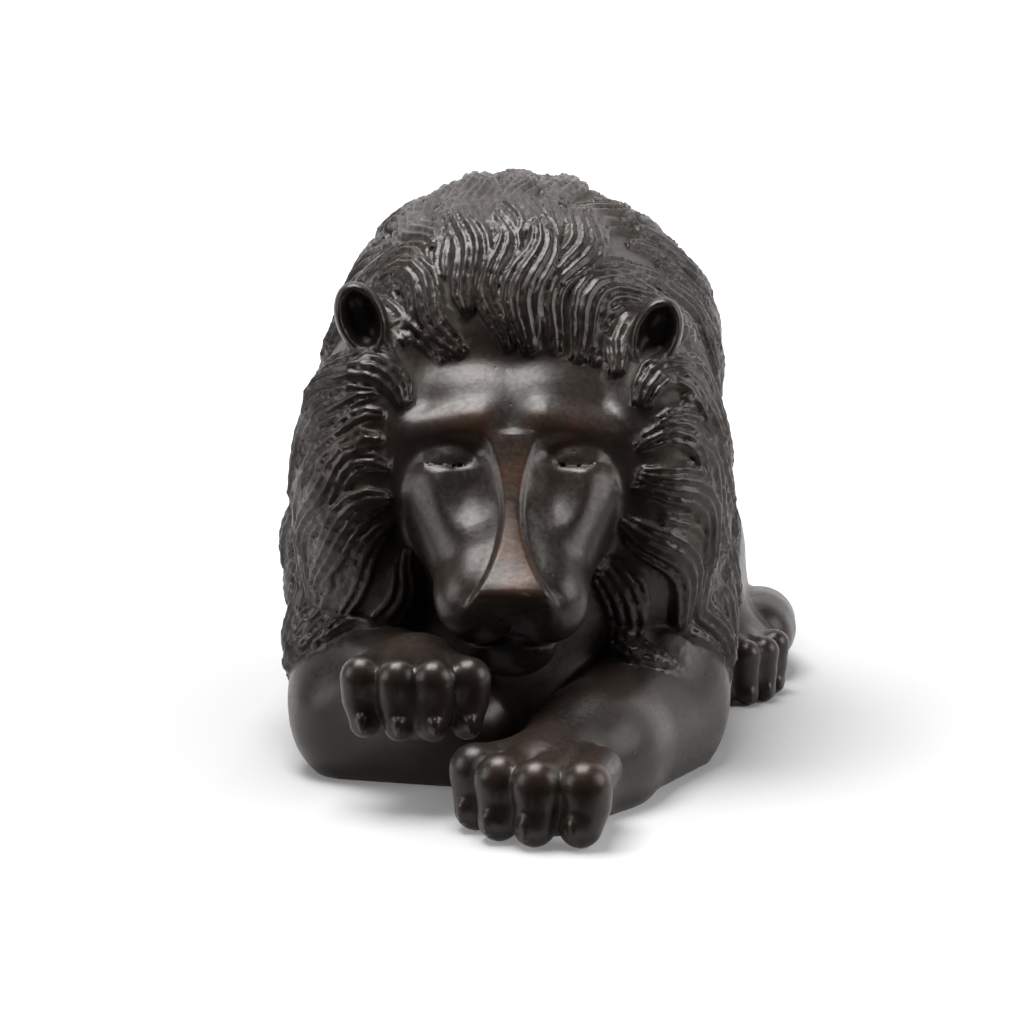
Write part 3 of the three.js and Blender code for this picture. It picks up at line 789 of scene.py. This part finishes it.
def mark_surface(mesh, axes, values, co, normals):
    """Marks the vertices where the patina is rubbed off (red) and where dirt has stayed (green)."""
    probe = 1.8 * DRAFT
    clearance = look_up(axes, values, co + normals * probe) / probe
    hollow = 1 - smoothstep(clearance, 0.25, 0.8)
    across, back = fore_coordinates(co[:, 0], co[:, 1])
    side, up, out = face_coordinates(across, back, co[:, 2])
    side, up, out = side / DRAFT, up / DRAFT, out / DRAFT
    front = smoothstep(out, -14, -8)
    bridge = smoothstep(2.6 + NOSE_FLARE * (up - NOSE_WAIST) ** 2 - np.abs(side), 0, 1.5)
    bridge *= smoothstep(up, -32, -28) * (1 - smoothstep(up, 0, 8))
    brow = smoothstep(7.5 - np.hypot((np.abs(side) - 9.5) * 0.8, (up - 10) * 1.3), 0, 5)
    knuckle_height = np.where(across < -5, 29.5, 14.5) * DRAFT
    knuckles = 1 - smoothstep(np.abs(co[:, 2] - knuckle_height), 1.5, 5)
    knuckles *= 1 - smoothstep(back, 22, 34)
    rubbed_face = np.maximum(bridge, brow * 0.8) * front
    rubbed = np.maximum(rubbed_face, knuckles * 0.5 * smoothstep(clearance, 0.9, 1.1))
    marks = np.stack([rubbed, hollow, np.zeros_like(rubbed), np.ones_like(rubbed)], axis=1)
    layer = mesh.color_attributes.new("wear", "FLOAT_COLOR", "POINT")
    layer.data.foreach_set("color", marks.astype(np.float32).ravel())


# Material


class Nodes:
    """Short names for adding and joining shader nodes."""

    def __init__(self, material):
        material.use_nodes = True
        self.tree = material.node_tree
        self.tree.nodes.clear()

    def add(self, kind, **settings):
        node = self.tree.nodes.new(kind)
        for key, value in settings.items():
            setattr(node, key, value)
        return node

    def join(self, out, into):
        self.tree.links.new(out, into)

    def mix(self, share, low, high):
        """Mixes two colours. The node has sockets of the same names for other kinds of value."""
        node = self.add("ShaderNodeMix", data_type="RGBA")
        self.put(share, node.inputs[0])
        self.put(low, node.inputs[6])
        self.put(high, node.inputs[7])
        return node.outputs[2]

    def ramp(self, value, low, high):
        node = self.add("ShaderNodeMapRange")
        node.inputs["From Min"].default_value = low
        node.inputs["From Max"].default_value = high
        self.join(value, node.inputs["Value"])
        return node.outputs["Result"]

    def maths(self, operation, a, b):
        node = self.add("ShaderNodeMath", operation=operation)
        self.put(a, node.inputs[0])
        self.put(b, node.inputs[1])
        return node.outputs[0]

    def put(self, value, socket):
        if isinstance(value, bpy.types.NodeSocket):
            self.join(value, socket)
        else:
            socket.default_value = value

    def noise(self, place, scale, detail=4.0):
        node = self.add("ShaderNodeTexNoise")
        node.inputs["Scale"].default_value = scale
        node.inputs["Detail"].default_value = detail
        self.join(place, node.inputs["Vector"])
        return node.outputs["Fac"]

    def end_in(self, shader):
        output = self.add("ShaderNodeOutputMaterial")
        self.join(shader.outputs["BSDF"], output.inputs["Surface"])


def bronze():
    """Dark patina in patches, rubbed and dusty where the mesh is marked so, with grain and pits."""
    material = bpy.data.materials.new("bronze")
    nodes = Nodes(material)
    place = nodes.add("ShaderNodeTexCoord").outputs["Object"]
    wear = nodes.add("ShaderNodeVertexColor", layer_name="wear").outputs["Color"]
    split = nodes.add("ShaderNodeSeparateColor")
    nodes.join(wear, split.inputs[0])
    rubbed, hollow = split.outputs[0], split.outputs[1]
    cloud = nodes.noise(place, 45.0)
    grain = nodes.noise(place, 900.0, 2.0)
    patches = nodes.ramp(cloud, 0.35, 0.65)
    rubbed = nodes.maths("MULTIPLY", rubbed, nodes.ramp(nodes.noise(place, 160.0), 0.3, 0.55))
    dirt = nodes.maths("MULTIPLY", hollow, nodes.ramp(nodes.noise(place, 120.0), 0.42, 0.62))
    patina = nodes.mix(patches, DARK_PATINA, BROWN_PATINA)
    warm = nodes.mix(rubbed, patina, RUBBED_BRONZE)
    color = nodes.mix(dirt, warm, DUST)
    pits = nodes.add("ShaderNodeTexVoronoi")
    pits.inputs["Scale"].default_value = 260.0
    nodes.join(place, pits.inputs["Vector"])
    pit = nodes.ramp(pits.outputs["Distance"], 0.0, 0.12)
    dusty = nodes.maths("MULTIPLY", hollow, 0.3)
    rough = nodes.maths("ADD", dusty, nodes.ramp(grain, -0.7, 2.8))
    pitted = nodes.maths("MULTIPLY", pit, 0.5)
    relief = nodes.maths("ADD", pitted, nodes.maths("MULTIPLY", grain, 0.35))
    bump = nodes.add("ShaderNodeBump")
    bump.inputs["Strength"].default_value = 0.25
    bump.inputs["Distance"].default_value = 0.0003
    nodes.join(relief, bump.inputs["Height"])
    shader = nodes.add("ShaderNodeBsdfPrincipled")
    shader.inputs["Metallic"].default_value = 0.2
    shader.inputs["Specular IOR Level"].default_value = 0.42
    nodes.join(color, shader.inputs["Base Color"])
    nodes.join(rough, shader.inputs["Roughness"])
    nodes.join(bump.outputs["Normal"], shader.inputs["Normal"])
    nodes.end_in(shader)
    return material


def white_paper(name):
    """White that glows more with its distance, so that it shows the figure's own shadow alone."""
    material = bpy.data.materials.new(name)
    nodes = Nodes(material)
    far = nodes.add("ShaderNodeVectorMath", operation="LENGTH")
    nodes.join(nodes.add("ShaderNodeNewGeometry").outputs["Position"], far.inputs[0])
    glow = nodes.ramp(far.outputs["Value"], 0.04, 0.5)
    shader = nodes.add("ShaderNodeBsdfPrincipled")
    shader.inputs["Base Color"].default_value = PAPER
    shader.inputs["Roughness"].default_value = 0.9
    shader.inputs["Specular IOR Level"].default_value = 0.0
    shader.inputs["Emission Color"].default_value = WHITE
    nodes.join(glow, shader.inputs["Emission Strength"])
    nodes.end_in(shader)
    return material


def look_at(holder, place, target):
    holder.location = place
    holder.rotation_euler = (Vector(target) - Vector(place)).to_track_quat("-Z", "Y").to_euler()


def lay_papers():
    """A pale floor, and a backdrop far behind the figure."""
    bpy.ops.mesh.primitive_plane_add(size=6, location=(0, 2.86, 0))
    floor = bpy.context.object
    floor.name = "floor"
    bpy.ops.mesh.primitive_plane_add(size=12, location=(0, 3, 0), rotation=(math.pi / 2, 0, 0))
    wall = bpy.context.object
    wall.name = "wall"
    for paper in (floor, wall):
        paper.data.materials.append(white_paper(paper.name))


def hang_lamps():
    """A faint even light, a large lamp above the figure and a weak one at each side."""
    scene = bpy.context.scene
    world = bpy.data.worlds.new("world")
    scene.world = world
    world.use_nodes = True
    background = world.node_tree.nodes["Background"]
    background.inputs["Color"].default_value = WHITE
    background.inputs["Strength"].default_value = 0.06
    for settings in LAMPS:
        lamp = bpy.data.lights.new(settings["name"], "AREA")
        lamp.size = settings["size"]
        lamp.energy = settings["power"]
        holder = bpy.data.objects.new(settings["name"], lamp)
        look_at(holder, settings["place"], LAMPS_AIM)
        scene.collection.objects.link(holder)


def set_camera(shift):
    """The camera stands straight before the face and looks down at it."""
    scene = bpy.context.scene
    camera = bpy.data.cameras.new("camera")
    camera.lens = LENS
    camera.sensor_width = SENSOR_WIDTH
    camera.clip_start = 0.01
    holder = bpy.data.objects.new("camera", camera)
    scene.collection.objects.link(holder)
    scene.camera = holder
    eye = fore_to_body(0, CAMERA_BACK, CAMERA_HEIGHT)
    ahead = 100 * math.cos(CAMERA_DOWN)
    below = 100 * math.sin(CAMERA_DOWN)
    target = fore_to_body(0, CAMERA_BACK + ahead, CAMERA_HEIGHT - below)
    look_at(holder, (eye + shift) / PER_METRE, (target + shift) / PER_METRE)


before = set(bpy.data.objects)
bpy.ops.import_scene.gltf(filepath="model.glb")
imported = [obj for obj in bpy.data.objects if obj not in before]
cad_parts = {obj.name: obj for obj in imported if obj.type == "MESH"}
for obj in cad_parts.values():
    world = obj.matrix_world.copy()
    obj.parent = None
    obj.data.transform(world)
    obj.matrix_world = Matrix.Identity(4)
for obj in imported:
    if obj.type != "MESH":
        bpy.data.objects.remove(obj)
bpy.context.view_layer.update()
lion, shift = cast_lion("lion")
lion.data.materials.clear()
lion.data.materials.append(bronze())
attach(lion, "root")
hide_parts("lion")
lay_papers()
hang_lamps()
set_camera(shift)
scene = bpy.context.scene
scene.render.engine = "CYCLES"
scene.cycles.samples = 64
scene.view_settings.view_transform = "Standard"
